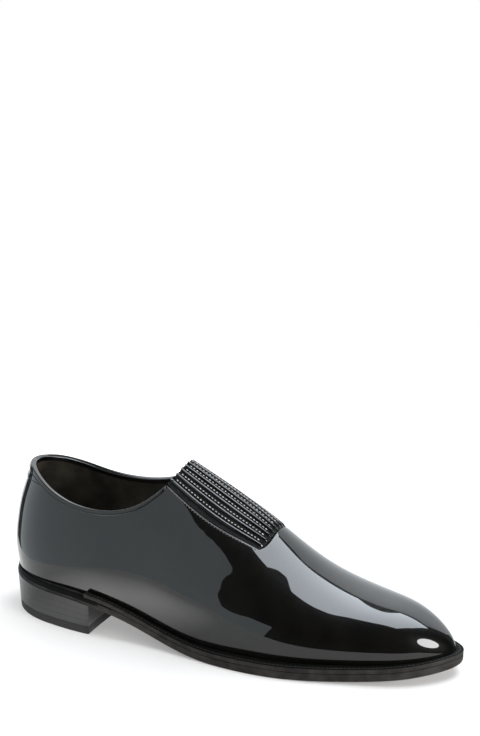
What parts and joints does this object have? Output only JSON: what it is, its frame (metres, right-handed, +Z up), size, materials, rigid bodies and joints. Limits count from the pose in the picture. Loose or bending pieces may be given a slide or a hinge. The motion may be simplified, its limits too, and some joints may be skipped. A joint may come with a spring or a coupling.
{
  "type": "patent slip-on shoe",
  "caption": "Right-foot patent leather slip-on dress shoe with a pleated elastic instep panel, a welted leather sole and a low stacked heel.",
  "frame": {"origin": "on the floor under the middle of the shoe's bounding box", "axes": "+X from heel to toe, +Y to the inner (big toe) side, +Z up"},
  "size_m": [0.2994, 0.0992, 0.1091],
  "materials": {
    "patent_leather": "high-gloss patent coating over black leather",
    "pleated_elastic": "satin black tucks stitched on elastic",
    "binding": "soft black leather, semi-gloss",
    "lining": "matt brown-black lining leather",
    "welt": "black waxed leather, satin",
    "sole_leather": "black inked edge with fine layers, satin",
    "heel_leather": "black burnished leather lifts, satin",
    "heel_rubber": "matt black rubber"
  },
  "bodies": {
    "root": {"upper": "patent_leather", "instep_panel": "pleated_elastic", "topline_binding": "binding", "insole": "lining", "welt": "welt", "outsole": "sole_leather", "heel_stack": "heel_leather", "top_piece": "heel_rubber"}
  },
  "joints": []
}
